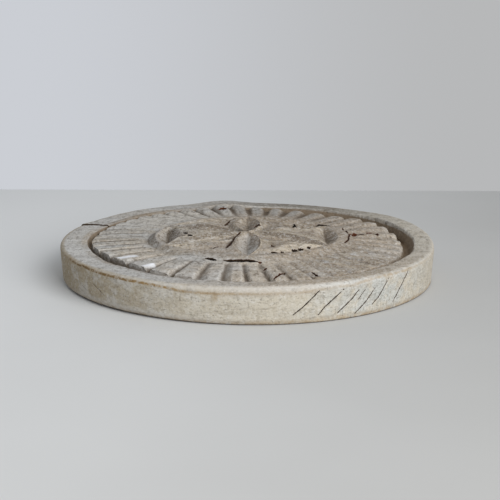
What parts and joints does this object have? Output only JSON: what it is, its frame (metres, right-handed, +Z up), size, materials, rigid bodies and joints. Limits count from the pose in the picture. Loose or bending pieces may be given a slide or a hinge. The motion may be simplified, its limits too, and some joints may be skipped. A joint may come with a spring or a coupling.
{
  "type": "carved chapati board",
  "caption": "Round wooden board for rolling chapatis, carved with a plain rim, a moat, a ring of V-cut rays and a low domed medallion with a petalled rosette.",
  "frame": {"origin": "centre of the flat underside", "axes": "+Z up through the carved face, X along the grain and the joint between the staves, -Y towards the front"},
  "size_m": [0.25, 0.25, 0.0295],
  "materials": {
    "bleached_wood": "bleached, dry and weathered, with open grain",
    "peg_wood": "whittled and dry"
  },
  "bodies": {
    "root": {"front_stave": "bleached_wood", "rear_stave": "bleached_wood", "peg_left": "peg_wood", "peg_middle": "peg_wood", "peg_right": "peg_wood"}
  },
  "joints": []
}
